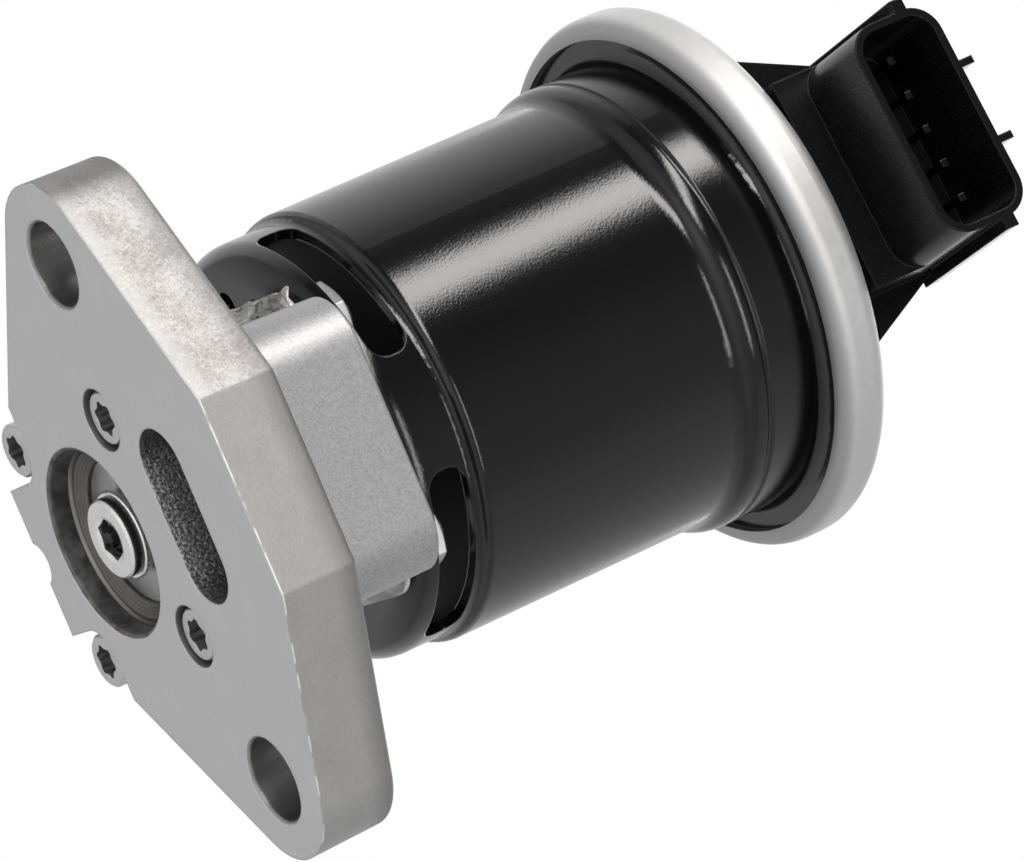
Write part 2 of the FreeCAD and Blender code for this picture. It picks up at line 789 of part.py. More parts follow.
# Hexagon nuts on the cover's floor, reached through its windows
def cover_nuts():
    body = new_body("cover_nuts")
    sketch = new_sketch(body, "nut_outline", height="cover_floor")
    for side in ("", "-"):
        for end in ("", "-"):
            draw(sketch, hexagon(side + "screw_offset", end + "screw_offset", "nut_across", "nut_turn"))
            draw_circle(sketch, side + "screw_offset", end + "screw_offset", "screw_radius")
    pad(body, sketch, "nut_height")
    bevels = []
    for name, level, side in (("nut_low_bevel", "cover_floor", "+"), ("nut_top_bevel", "nut_top", "-")):
        bevels.append(spin(body, name, [
            ("nut_across / 2 - nut_bevel", level),
            ("nut_across", level),
            ("nut_across", "%s %s nut_bevel * 4" % (level, side)),
            ("nut_across / 2 / cos(30)", "%s %s nut_bevel" % (level, side)),
        ], "PartDesign::Groove", ("screw_offset", "screw_offset")))
    repeat_round(body, bevels, 4)
    return body


# Valve head, its washer and its socket screw
def valve_disc():
    return turned("valve_disc", [
        ("head_shank", "disc_hub_front"),
        ("disc_hub_radius", "disc_hub_front"),
        ("disc_hub_radius", "disc_front"),
        ("disc_face_radius", "disc_front"),
        ("disc_radius", "disc_front + disc_bevel"),
        ("disc_radius", "disc_rim_top"),
        ("stem_collar", "stem_foot"),
        ("head_shank", "stem_foot"),
    ])


def valve_washer():
    return turned("valve_washer", [
        ("head_shank", "washer_front"),
        ("washer_radius - washer_bevel", "washer_front"),
        ("washer_radius", "washer_front + washer_bevel"),
        ("washer_radius", "disc_hub_front"),
        ("head_shank", "disc_hub_front"),
    ])


def valve_screw():
    body = turned("valve_screw", [
        ("0", "head_front"),
        ("head_radius - head_bevel", "head_front"),
        ("head_radius", "head_front + head_bevel"),
        ("head_radius", "washer_front"),
        ("head_shank", "washer_front"),
        ("head_shank", "grip_end"),
        ("0", "grip_end"),
    ])
    socket = new_sketch(body, "screw_socket", height="head_front")
    draw(socket, hexagon("0", "0", "socket_across", "socket_turn"))
    pocket(body, socket, "socket_depth")
    spin(body, "socket_mouth", [
        ("0", "head_front"),
        ("socket_across * 0.65", "head_front"),
        ("0", "head_front + socket_across * 0.2"),
    ], "PartDesign::Groove")
    return body


# Stem with its collar, its guide bush and the seal above it
def valve_stem():
    return turned("valve_stem", [
        ("head_shank", "stem_foot"),
        ("stem_collar", "stem_foot"),
        ("stem_collar", "stem_collar_top"),
        ("stem_radius", "stem_collar_top + stem_cone"),
        ("stem_radius", "armature_low"),
        ("stem_spigot", "armature_low"),
        ("stem_spigot", "stem_top - end_bevel"),
        ("stem_spigot - end_bevel", "stem_top"),
        ("0", "stem_top"),
        ("0", "grip_end"),
        ("head_shank", "grip_end"),
    ])


def stem_guide():
    return turned("stem_guide", [
        ("stem_bore", "guide_low"),
        ("guide_radius - guide_bevel", "guide_low"),
        ("guide_radius", "guide_low + guide_bevel"),
        ("guide_radius", "guide_top"),
        ("stem_bore", "guide_top"),
    ])


def stem_seal():
    return turned("stem_seal", [
        ("stem_bore", "guide_top"),
        ("stem_seal_radius", "guide_top"),
        ("stem_seal_radius", "body_back"),
        ("stem_bore + stem_seal_lip", "body_back"),
        ("stem_bore", "body_back - stem_seal_lip"),
    ])


# Solenoid cover
# A deep-drawn can: flat base with a rounded corner, a narrower neck with four windows, a
# shoulder, a flare, a fine rolled groove and a turned-out rim. One profile carries both faces.
def solenoid_cover():
    body = new_body("solenoid_cover")
    inner_round = "cover_base_round - sheet_thickness"
    spin(body, "cover_section", [
        ("cover_mouth", "cover_base"),
        ("cover_neck_radius - cover_base_round", "cover_base", "cover_base_round", LEFT),
        ("cover_neck_radius", "cover_base + cover_base_round"),
        ("cover_neck_radius", "shoulder_low", "shoulder_bend", RIGHT),
        ("cover_neck_radius + shoulder_step / 2", "shoulder_low + shoulder_rise / 2",
         "shoulder_bend", LEFT),
        ("cover_radius", "shoulder_high"),
        ("cover_radius", "flare_low", "flare_bend", RIGHT),
        ("cover_radius + flare_step / 2", "flare_low + flare_rise / 2", "flare_bend", LEFT),
        ("flare_radius", "flare_high"),
        ("flare_radius", "bead_height - bead_half", "bead_bend", RIGHT),
        ("flare_radius", "bead_height + bead_half"),
        ("flare_radius", "rim_face - rim_round", "rim_round", RIGHT),
        ("flare_radius + rim_round", "rim_face"),
        ("rim_radius", "rim_face"),
        ("rim_radius", "rim_back"),
        ("flare_radius + rim_round", "rim_back", "rim_round + sheet_thickness", LEFT),
        ("flare_bore", "rim_face - rim_round"),
        ("flare_bore", "bead_height + bead_half", "bead_bend", LEFT),
        ("flare_bore", "bead_height - bead_half"),
        ("flare_bore", "flare_high", "flare_bend", RIGHT),
        ("flare_bore - flare_step / 2", "flare_low + flare_rise / 2", "flare_bend", LEFT),
        ("cover_bore", "flare_low"),
        ("cover_bore", "pole_ledge"),
        ("cover_neck_bore", "pole_ledge"),
        ("cover_neck_bore", "cover_base + cover_base_round", inner_round, RIGHT),
        ("cover_neck_radius - cover_base_round", "cover_floor"),
        ("cover_mouth", "cover_floor"),
    ])
    holes = new_sketch(body, "cover_screw_hole", height="cover_base")
    draw_circle(holes, "screw_offset * sqrt(2)", "0", "screw_hole")
    screw_hole = pocket(body, holes, "sheet_thickness")
    panel = new_sketch(body, "cover_window", "YZ_Plane")
    draw(panel, rounded_box("-window_half", "window_half", "window_low",
                            "window_low + window_height", "window_round"))
    window = pocket(body, panel, "cover_radius")
    repeat_round(body, [screw_hole, window], 4)
    drain = new_sketch(body, "cover_drain", height="cover_base")
    reach = "(cover_neck_radius - drain_inset)"
    draw_circle(drain, reach + " * cos(drain_bearing - 45)", reach + " * sin(drain_bearing - 45)",
                "drain_radius")
    pocket(body, drain, "cover_base_round")
    body.Placement = FreeCAD.Placement(FreeCAD.Vector(), FreeCAD.Rotation(FreeCAD.Vector(0, 0, 1), 45))
    return body


# Solenoid: two pole pieces, a brass guide tube, the bobbin and its winding
def lower_pole():
    return turned("lower_pole", [
        ("tube_radius", "pole_ledge"),
        ("cover_bore - pole_gap", "pole_ledge"),
        ("cover_bore - pole_gap", "lower_pole_top"),
        ("tube_radius", "lower_pole_top"),
    ])


def guide_tube():
    return turned("guide_tube", [
        ("tube_bore", "pole_ledge"),
        ("tube_radius", "pole_ledge"),
        ("tube_radius", "tube_top"),
        ("tube_bore", "tube_top"),
    ])


def draw_contacts(sketch, gap="0"):
    """Draw the coil's two flat contacts, or the slots that they pass through with a gap."""
    across = "(contact_width / 2 + %s)" % gap
    through = "(contact_thickness / 2 + %s)" % gap
    for side in ("", "-"):
        low = "%scontact_place - %s" % (side, across)
        high = "%scontact_place + %s" % (side, across)
        draw(sketch, plain_box(low, high, "-" + through, through))


def cut_contact_slots(body, name, level, depth, gap="0"):
    slots = new_sketch(body, name, height=level)
    draw_contacts(slots, gap)
    pocket(body, slots, depth)


def coil_bobbin():
    body = turned("coil_bobbin", [
        ("tube_radius + pole_gap", "lower_pole_top"),
        ("bobbin_radius", "lower_pole_top"),
        ("bobbin_radius", "coil_low"),
        ("bobbin_core", "coil_low"),
        ("bobbin_core", "coil_top"),
        ("bobbin_radius", "coil_top"),
        ("bobbin_radius", "bobbin_top"),
        ("tube_radius + pole_gap", "bobbin_top"),
    ])
    cut_contact_slots(body, "bobbin_slots", "coil_top", "bobbin_flange")
    turn_to_connector(body)
    return body


def coil_winding():
    return turned("coil_winding", [
        ("bobbin_core", "coil_low"),
        ("winding_radius", "coil_low"),
        ("winding_radius", "coil_top"),
        ("bobbin_core", "coil_top"),
    ])


def upper_pole():
    body = turned("upper_pole", [
        ("plunger_bore", "spring_roof"),
        ("spring_side", "spring_roof"),
        ("spring_side", "core_face"),
        ("tube_bore - pole_gap", "core_face"),
        ("tube_bore - pole_gap", "bobbin_top"),
        ("cover_bore - pole_gap", "bobbin_top"),
        ("cover_bore - pole_gap", "upper_pole_top"),
        ("plunger_bore", "upper_pole_top"),
    ])
    cut_contact_slots(body, "pole_slots", "bobbin_top", "upper_pole_height", "contact_gap")
    turn_to_connector(body)
    return body


def coil_contacts():
    body = new_body("coil_contacts")
    sketch = new_sketch(body, "contact_outline", height="coil_top")
    draw_contacts(sketch)
    pad(body, sketch, "contact_top - coil_top")
    turn_to_connector(body)
    return body


# Armature on the stem's spigot and the nut that holds it
def armature():
    return turned("armature", [
        ("stem_spigot", "armature_low"),
        ("armature_radius - guide_bevel", "armature_low"),
        ("armature_radius", "armature_low + guide_bevel"),
        ("armature_radius", "armature_top - guide_bevel"),
        ("armature_radius - guide_bevel", "armature_top"),
        ("spring_side", "armature_top"),
        ("spring_side", "recess_floor"),
        ("stem_spigot", "recess_floor"),
    ])


def armature_nut():
    body = new_body("armature_nut")
    sketch = new_sketch(body, "armature_nut_outline", height="recess_floor")
    draw(sketch, hexagon("0", "0", "armature_nut_across", "0"))
    draw_circle(sketch, "0", "0", "stem_spigot")
    pad(body, sketch, "armature_nut_height")
    return body


def coil_spring(label, low, high, radius, wire, turns):
    """Sweep a round wire along a helix that fits between two heights."""
    foot = number(low) + number(wire)
    rise = number(high) - number(low) - 2 * number(wire)
    helix = Part.makeHelix(rise / number(turns), rise, number(radius))
    start = FreeCAD.Vector(number(radius), 0, 0)
    section = Part.Wire(Part.makeCircle(number(wire), start, FreeCAD.Vector(0, 1, 0)))
    sweep = Part.Wire(helix.Edges).makePipeShell([section], True, True)
    spring = doc.addObject("Part::Feature", label)
    spring.Shape = sweep
    spring.Placement = FreeCAD.Placement(FreeCAD.Vector(0, 0, foot), FreeCAD.Rotation())
    return spring


def return_spring():
    return coil_spring("return_spring", "recess_floor", "spring_roof",
                       "spring_radius", "spring_wire", "spring_turns")


# Crimp ring, rolled over the cover's rim and the cap's edge
def crimp_ring():
    return turned("crimp_ring", [
        ("rim_radius - ring_front_grip", "ring_front"),
        ("ring_radius - ring_round", "ring_front", "ring_round", LEFT),
        ("ring_radius", "ring_front + ring_round"),
        ("ring_radius", "ring_back - ring_round", "ring_round", LEFT),
        ("ring_radius - ring_round", "ring_back"),
        ("ring_back_throat", "ring_back"),
        ("ring_back_throat", "cap_disc_back"),
        ("rim_radius", "cap_disc_back"),
        ("rim_radius", "rim_face"),
        ("rim_radius - ring_front_grip", "rim_face"),
    ])


def cap_seal():
    """The seal ring, a torus that fills its groove from the rim to the groove's floor."""
    seal = doc.addObject("Part::Torus", "cap_seal")
    seal.setExpression("Radius1", bound("seal_radius"))
    seal.setExpression("Radius2", bound("seal_wire"))
    seal.setExpression("Placement.Base.z", bound("rim_back + seal_wire"))
    return seal


# Sensor cap
# A moulded cap: a disc under the ring, a tower over the lift sensor and the socket of the
# connector with its rails, locating pegs, latch ramp and side gussets. It is drawn with the
# connector along +Y and then turned.
def sensor_cap():
    body = new_body("sensor_cap")
    spin(body, "cap_section", [
        ("0", "cap_spigot_foot"),
        ("cap_spigot", "cap_spigot_foot"),
        ("cap_spigot", "rim_face - rim_round"),
        ("cap_spigot - cap_spigot_taper", "rim_back"),
        ("rim_radius", "rim_back"),
        ("rim_radius", "cap_disc_back"),
        ("ring_back_throat - cap_spigot_gap", "cap_disc_back"),
        ("ring_back_throat - cap_spigot_gap", "cap_deck"),
        ("0", "cap_deck"),
    ])
    tower = new_sketch(body, "cap_tower", height="cap_deck")
    draw(tower, [
        ("cap_half_width", "cap_front"),
        ("-cap_half_width", "cap_front"),
        ("-cap_half_width", "-cap_back + cap_back_round", "cap_back_round", LEFT),
        ("-cap_half_width + cap_back_round", "-cap_back"),
        ("cap_half_width - cap_back_round", "-cap_back", "cap_back_round", LEFT),
        ("cap_half_width", "-cap_back + cap_back_round"),
    ])
    block = pad(body, tower, "cap_top - cap_deck")
    top, front = number("cap_top"), number("cap_front")
    mouth_edges = edges_where(block, lambda p: abs(p.y - front) < 0.01)
    names = edges_where(block, lambda p: abs(p.z - top) < 0.01)
    names = [name for name in names if name not in mouth_edges]
    dress(body, "Fillet", block, names, "mouth_round")
    shroud = new_sketch(body, "cap_shroud", "XZ_Plane", "-cap_front")
    draw(shroud, rounded_box("-cap_half_width", "cap_half_width", "mouth_low", "cap_top", "mouth_round"))
    pad(body, shroud, "mouth_reach - cap_front", reverse=True)
    mouth = new_sketch(body, "cap_mouth", "XZ_Plane", "-mouth_reach")
    inside = "mouth_round - mouth_wall"
    draw(mouth, rounded_box("-cap_half_width + mouth_wall", "cap_half_width - mouth_wall",
                            "mouth_low + mouth_wall", "cap_top - mouth_wall", "(%s)" % inside))
    pocket(body, mouth, "mouth_reach - mouth_floor")
    extras = new_sketch(body, "cap_rails", "XZ_Plane", "-rail_start")
    rail = ("rail_line - rail_height / 2", "rail_line + rail_height / 2")
    draw(extras, plain_box("cap_half_width - cap_root", "cap_half_width + rail_width", *rail))
    draw(extras, plain_box("-cap_half_width - rail_width", "-cap_half_width + cap_root", *rail))
    pad(body, extras, "mouth_reach - rail_start", reverse=True)
    pegs = new_sketch(body, "cap_pegs", "XZ_Plane", "-(mouth_reach - peg_length)")
    for side in ("", "-"):
        draw(pegs, plain_box("%speg_place - peg_width / 2" % side, "%speg_place + peg_width / 2" % side,
                             "cap_top - mouth_wall / 2", "cap_top + peg_height"))
    pad(body, pegs, "peg_length", reverse=True)
    latch = new_sketch(body, "cap_latch", "YZ_Plane", "-latch_half")
    draw(latch, [
        ("mouth_reach - latch_inset - latch_length", "cap_top - mouth_wall / 2"),
        ("mouth_reach - latch_inset", "cap_top - mouth_wall / 2"),
        ("mouth_reach - latch_inset - latch_length", "cap_top + latch_height"),
    ])
    pad(body, latch, "latch_half * 2")
    gussets = new_sketch(body, "cap_gussets", "XZ_Plane", "-(rail_start + gusset_thickness / 2)")
    for side, order in (("", 1), ("-", -1)):
        corners = [
            (side + "(cap_half_width - cap_root)", "cap_deck - cap_root"),
            (side + "(cap_half_width + gusset_width)", "cap_deck - cap_root"),
            (side + "(cap_half_width + gusset_width)", "cap_deck + cap_root"),
            (side + "cap_half_width", "rail_line"),
            (side + "(cap_half_width - cap_root)", "rail_line"),
        ]
        draw(gussets, corners[::order])
    pad(body, gussets, "gusset_thickness", reverse=True)
    cavity = new_sketch(body, "cap_cavity", height="cap_spigot_foot")
    draw_circle(cavity, "0", "0", "cap_spigot - cap_skirt_wall")
    pocket(body, cavity, "cap_floor - cap_spigot_foot")
    bore = new_sketch(body, "cap_sensor_bore", height="cap_spigot_foot")
    draw_circle(bore, "0", "0", "sensor_bore")
    pocket(body, bore, "sensor_roof - cap_spigot_foot")
    spin(body, "cap_seal_groove", [
        ("seal_groove_inner", "rim_back"),
        ("seal_groove_outer", "rim_back"),
        ("seal_groove_outer", "rim_back + 2 * seal_wire"),
        ("seal_groove_inner", "rim_back + 2 * seal_wire"),
    ], "PartDesign::Groove")
    pins = new_sketch(body, "cap_pin_slots", "XZ_Plane", "-mouth_floor")
    draw_pins(pins)
    pocket(body, pins, "mouth_floor - pin_root + pin_root_reach")
    cut_contact_slots(body, "cap_contact_slots", "cap_floor", "contact_top - cap_floor")
    turn_to_connector(body)
    return body


def draw_pins(sketch):
    """Draw the row of square pins, centred on the socket."""
    count = int(number("pin_count"))
    for place in range(count):
        centre = "%g * pin_pitch" % (place - (count - 1) / 2)
        draw(sketch, plain_box("%s - pin_width / 2" % centre, "%s + pin_width / 2" % centre,
                               "pin_line - pin_width / 2", "pin_line + pin_width / 2"))


# Connector pins, moulded through the back of the socket
def connector_terminals():
    body = new_body("connector_terminals")
    sketch = new_sketch(body, "pin_outline", "XZ_Plane", "-pin_root")
    draw_pins(sketch)
    pad(body, sketch, "mouth_floor + pin_length - pin_root", reverse=True)
    turn_to_connector(body)
    return body


# Lift sensor
# A plunger rides on the stem's end and carries a wiper along a resistive board.
def plunger_guide():
    return turned("plunger_guide", [
        ("plunger_bore", "cap_floor"),
        ("sensor_bore", "cap_floor"),
        ("sensor_bore", "guide_disc_top"),
        ("plunger_bore", "guide_disc_top"),
    ])


def sensor_board():
    body = new_body("sensor_board")
    sketch = new_sketch(body, "board_outline", height="guide_disc_top")
    draw(sketch, plain_box("-board_face", "board_face", "board_face", "board_face + board_thickness"))
    pad(body, sketch, "sensor_roof - guide_disc_top")
    turn_to_connector(body)
    return body


def sensor_plunger():
    body = turned("sensor_plunger", [
        ("0", "plunger_foot"),
        ("plunger_radius - plunger_bevel", "plunger_foot"),
        ("plunger_radius", "plunger_foot + plunger_bevel"),
        ("plunger_radius", "carriage_low"),
        ("nub_radius", "carriage_low"),
        ("nub_radius", "carriage_top + nub_height"),
        ("0", "carriage_top + nub_height"),
    ])
    sketch = new_sketch(body, "carriage_outline", height="carriage_low")
    draw(sketch, plain_box("-carriage_half", "carriage_half", "-carriage_half", "carriage_front"))
    pad(body, sketch, "carriage_height")
    turn_to_connector(body)
    return body


def sensor_wiper():
    body = new_body("sensor_wiper")
    sketch = new_sketch(body, "wiper_outline", "YZ_Plane", "-wiper_half")
    draw(sketch, [
        ("carriage_front", "wiper_line - wiper_sheet / 2"),
        ("wiper_tip - wiper_sheet", "wiper_line - wiper_sheet / 2"),
        ("wiper_tip - wiper_sheet", "wiper_line - wiper_reach"),
        ("wiper_tip", "wiper_line - wiper_reach"),
        ("wiper_tip", "wiper_line + wiper_sheet / 2"),
        ("carriage_front", "wiper_line + wiper_sheet / 2"),
    ])
    pad(body, sketch, "wiper_half * 2")
    turn_to_connector(body)
    return body


def sensor_spring():
    return coil_spring("sensor_spring", "carriage_top", "sensor_roof", "sensor_spring_radius",
                       "sensor_spring_wire", "sensor_spring_turns")


pieces = [make() for make in (
    mounting_flange, body_gasket, valve_body, insulator_gasket, valve_seat,
    flange_screws, cover_nuts, valve_disc, valve_washer, valve_screw,
    valve_stem, stem_guide, stem_seal, solenoid_cover,
    lower_pole, guide_tube, coil_bobbin, coil_winding, upper_pole, coil_contacts,
    armature, armature_nut, return_spring, crimp_ring, cap_seal, sensor_cap,
    connector_terminals, plunger_guide, sensor_board, sensor_plunger, sensor_wiper, sensor_spring,
)]
doc.recompute()

for item in doc.Objects:
    if "Invalid" in item.State or "Error" in item.State:
        raise RuntimeError("%s did not recompute: %s" % (item.Label, item.State))
for piece in pieces:
    if piece.Shape.isNull() or not piece.Shape.isValid() or not piece.Shape.Solids:
        raise RuntimeError("%s has no valid solid" % piece.Label)
for piece in pieces:
    piece.Shape.exportStep("parts/%s.step" % piece.Label)
    print("%-20s %d solid(s) %10.1f mm3" % (piece.Label, len(piece.Shape.Solids), piece.Shape.Volume))
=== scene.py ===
import math

import bpy
from mathutils import Matrix, Vector


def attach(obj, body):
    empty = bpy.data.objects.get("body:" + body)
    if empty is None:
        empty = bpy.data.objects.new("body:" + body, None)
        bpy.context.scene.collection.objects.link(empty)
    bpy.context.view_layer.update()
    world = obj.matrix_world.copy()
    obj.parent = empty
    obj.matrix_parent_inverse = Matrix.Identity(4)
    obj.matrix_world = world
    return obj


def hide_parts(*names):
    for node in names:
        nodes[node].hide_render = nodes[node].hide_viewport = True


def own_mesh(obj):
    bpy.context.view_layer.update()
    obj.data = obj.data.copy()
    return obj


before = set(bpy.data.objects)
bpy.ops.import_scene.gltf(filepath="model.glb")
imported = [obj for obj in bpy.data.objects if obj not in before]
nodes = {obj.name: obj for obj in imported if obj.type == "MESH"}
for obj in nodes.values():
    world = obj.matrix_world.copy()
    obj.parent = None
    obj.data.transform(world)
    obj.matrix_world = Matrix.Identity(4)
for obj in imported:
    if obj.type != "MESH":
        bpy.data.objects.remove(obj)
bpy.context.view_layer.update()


# The photograph's camera. A long lens looks up at the mounting face from below it, on the oval
# port's side, so that the valve lies across the picture with its flange to the lower left.
lens = bpy.data.cameras.new("photo_camera")
lens.sensor_width = 36
lens.lens = 252.59
lens.clip_end = 20
camera = bpy.data.objects.new("photo_camera", lens)
bpy.context.scene.collection.objects.link(camera)
camera_place = Vector((0.027467, 0.656952, -0.291303))
camera_right = Vector((-0.3918, 0.4376, 0.8093)).normalized()
camera_back = Vector((0.0462, 0.8879, -0.4577)).normalized()
camera_up = camera_back.cross(camera_right)
camera.matrix_world = Matrix.Translation(camera_place) @ Matrix(
    (camera_right, camera_up, camera_back)).transposed().to_4x4()
bpy.context.scene.camera = camera
bpy.context.scene.view_settings.view_transform = "Standard"


# The studio. One long softbox, hung askew, draws the warm band down the can, and a low one the
# glints on its flare. A panel overhead lights the pale floor, which the mounting face mirrors,
# and the walls are bright behind the valve and dim on the camera's side.
def softbox(name, azimuth, elevation, distance, width, height, radiance, colour, roll=0.0):
    turn, rise, lean = math.radians(azimuth), math.radians(elevation), math.radians(roll)
    outwards = Vector((
        math.cos(rise) * math.cos(turn), math.cos(rise) * math.sin(turn), math.sin(rise)))
    onwards = Vector((-math.sin(turn), math.cos(turn), 0))
    upright = outwards.cross(onwards) * math.cos(lean) - onwards * math.sin(lean)
    lamp = bpy.data.lights.new(name, "AREA")
    lamp.shape = "RECTANGLE"
    lamp.size = width
    lamp.size_y = height
    lamp.color = colour
    lamp.energy = radiance * math.pi * width * height
    box = bpy.data.objects.new(name, lamp)
    bpy.context.scene.collection.objects.link(box)
    axes = Matrix((upright.cross(outwards), upright, outwards)).transposed().to_4x4()
    can_middle = Vector((0, 0, 0.045))
    box.matrix_world = Matrix.Translation(can_middle + outwards * distance) @ axes


softbox("key_softbox", azimuth=46, elevation=11, distance=0.95, width=0.25, height=1.20,
        radiance=11.0, colour=(1.0, 0.965, 0.93), roll=32)
softbox("low_softbox", azimuth=107, elevation=4, distance=0.95, width=0.70, height=0.17,
        radiance=6.0, colour=(1.0, 0.98, 0.96))
softbox("floor_panel", azimuth=-90, elevation=56, distance=1.7, width=1.6, height=1.6,
        radiance=1.6, colour=(1.0, 1.0, 1.0))

room = bpy.data.worlds.new("studio_room")
bpy.context.scene.world = room
room.use_nodes = True
room_nodes = room.node_tree.nodes
room_links = room.node_tree.links
room_nodes.clear()
direction = room_nodes.new("ShaderNodeTexCoord")
parts = room_nodes.new("ShaderNodeSeparateXYZ")
room_links.new(direction.outputs["Generated"], parts.inputs[0])
bearing = room_nodes.new("ShaderNodeMath")
bearing.operation = "ARCTAN2"
room_links.new(parts.outputs["Y"], bearing.inputs[0])
room_links.new(parts.outputs["X"], bearing.inputs[1])
round_room = room_nodes.new("ShaderNodeMapRange")
round_room.inputs["From Min"].default_value = -math.pi
round_room.inputs["From Max"].default_value = math.pi
room_links.new(bearing.outputs[0], round_room.inputs["Value"])
walls = room_nodes.new("ShaderNodeValToRGB")
for bearing_degrees, brightness in (
        (-180, 0.66), (-144, 0.68), (-112, 0.73), (-90, 0.82), (-66, 1.0), (-36, 1.0), (-27, 0.95),
        (-15, 0.76), (-3, 0.46), (7, 0.10), (69, 0.12), (83, 0.21), (113, 0.37), (135, 0.42),
        (152, 0.60), (179, 0.66)):
    stop = walls.color_ramp.elements.new((bearing_degrees + 180) / 360)
    stop.color = (brightness, brightness, brightness, 1)
for built_in in (0, -1):
    walls.color_ramp.elements.remove(walls.color_ramp.elements[built_in])
room_links.new(round_room.outputs["Result"], walls.inputs[0])
reflected = room_nodes.new("ShaderNodeBackground")
room_links.new(walls.outputs[0], reflected.inputs["Color"])
plain = room_nodes.new("ShaderNodeBackground")
plain.inputs["Color"].default_value = (1, 1, 1, 1)
eye = room_nodes.new("ShaderNodeLightPath")
choice = room_nodes.new("ShaderNodeMixShader")
room_links.new(eye.outputs["Is Camera Ray"], choice.inputs["Fac"])
room_links.new(reflected.outputs["Background"], choice.inputs[1])
room_links.new(plain.outputs["Background"], choice.inputs[2])
room_output = room_nodes.new("ShaderNodeOutputWorld")
room_links.new(choice.outputs["Shader"], room_output.inputs["Surface"])


# The mounting flange. A forged steel plate with a ground face, blasted sides, drilled bolt holes
# and a dark turned bore; the oval port keeps its rough forged wall.
class Tone:
    """A value that varies over a surface. Plain operators on it add the shader's maths."""

    def __init__(self, finish, socket):
        self.finish = finish
        self.socket = socket

    def maths(self, operation, *values):
        return self.finish.node("ShaderNodeMath", {"operation": operation}, dict(enumerate(values)))

    def __add__(self, other):
        return self.maths("ADD", self, other)

    def __sub__(self, other):
        return self.maths("SUBTRACT", self, other)

    def __rsub__(self, other):
        return self.maths("SUBTRACT", other, self)

    def __mul__(self, other):
        return self.maths("MULTIPLY", self, other)

    def __pow__(self, other):
        return self.maths("POWER", self, other)

    def __abs__(self):
        return self.maths("ABSOLUTE", self)

    __radd__ = __add__
    __rmul__ = __mul__

    def wave(self):
        """A sine of the value, from 0 to 1."""
        return self.maths("SINE", self) * 0.5 + 0.5

    def step(self, low, high):
        """0 below low, 1 above high and smooth between them."""
        return self.finish.node("ShaderNodeMapRange", {"interpolation_type": "SMOOTHSTEP"},
                                {"Value": self, "From Min": low, "From Max": high})

    def within(self, limit, blend=0.1):
        """1 below limit, 0 above it, with a soft change blend wide on either side."""
        return 1 - self.step(limit - blend, limit + blend)


class Finish:
    """A material with one shader. Its patterns are laid out in millimetres of the part's frame."""

    def __init__(self, name, **settings):
        self.material = bpy.data.materials.new(name)
        self.material.use_nodes = True
        self.tree = self.material.node_tree
        self.shader = self.tree.nodes["Principled BSDF"]
        self.set(**settings)
        place = self.node("ShaderNodeTexCoord", output="Object")
        self.place = self.node(
            "ShaderNodeVectorMath", {"operation": "SCALE"}, {0: place, "Scale": 1000.0})
        self.x, self.y, self.z = self.split(self.place)

    def node(self, kind, settings=None, sockets=None, output=0):
        """Add a node, set it up and return one of its outputs as a Tone."""
        made = self.tree.nodes.new(kind)
        for name, value in (settings or {}).items():
            setattr(made, name, value)
        for name, value in (sockets or {}).items():
            if isinstance(value, Tone):
                self.tree.links.new(value.socket, made.inputs[name])
            else:
                made.inputs[name].default_value = value
        return Tone(self, made.outputs[output])

    def split(self, vector):
        """The X, Y and Z parts of a vector."""
        return [
            self.node("ShaderNodeSeparateXYZ", sockets={0: vector}, output=axis) for axis in "XYZ"]

    def set(self, **settings):
        """Set the shader's own sockets, from a number, a colour or a Tone each."""
        for name, value in settings.items():
            socket = self.shader.inputs[name.replace("_", " ")]
            if isinstance(value, Tone):
                self.tree.links.new(value.socket, socket)
            elif isinstance(value, tuple):
                socket.default_value = (*value, 1.0)
            else:
                socket.default_value = value

    def stretched(self, x=1.0, y=1.0, z=1.0):
        """The place with each axis scaled, so that a pattern on it runs long where it is small."""
        return self.node(
            "ShaderNodeVectorMath", {"operation": "MULTIPLY"}, {0: self.place, 1: (x, y, z)})

    def noise(self, size, detail=3.0, rough=0.55, place=None, twist=0.0):
        """Soft patches of about that many millimetres, from 0 to 1."""
        return self.node("ShaderNodeTexNoise", {"noise_dimensions": "3D"},
                         {"Vector": place or self.place, "Scale": 1.0 / size, "Detail": detail,
                          "Roughness": rough, "Distortion": twist})

    def pits(self, size):
        """Distance to the nearest of scattered points, from 0 at the point."""
        sockets = {"Vector": self.place, "Scale": 1.0 / size}
        return self.node("ShaderNodeTexVoronoi", sockets=sockets, output="Distance")

    def mix(self, factor, first, second):
        """Mix two colours, each a tuple or a Tone."""
        first, second = (
            colour if isinstance(colour, Tone) else (*colour, 1.0) for colour in (first, second))
        # Of a mix node's sockets, 0 is the factor, 6 and 7 are the colours in and 2 the colour out.
        sockets = {0: factor, 6: first, 7: second}
        return self.node("ShaderNodeMix", {"data_type": "RGBA"}, sockets, output=2)

    def relief(self, height, depth, base=None):
        """Tilt the surface by a height from 0 to 1 that stands depth millimetres deep."""
        sockets = {"Height": height, "Distance": depth / 1000.0, "Strength": 1.0}
        if base:
            sockets["Normal"] = base
        return self.node("ShaderNodeBump", {}, sockets)

    def soft_edges(self, radius):
        """Round the look of sharp edges by a radius in millimetres."""
        return self.node("ShaderNodeBevel", {"samples": 6}, {"Radius": radius / 1000.0})

    def facing(self):
        """The three parts of the surface's direction in the part's frame."""
        return self.split(self.node("ShaderNodeTexCoord", output="Normal"))


def dress(node, finish):
    """Put a finish on one of the part's solids."""
    for slot in nodes[node].material_slots:
        slot.material = finish.material


def distance(finish, x, y):
    """Millimetres from a line along Z through x, y."""
    return ((finish.x - x) ** 2.0 + (finish.y - y) ** 2.0) ** 0.5


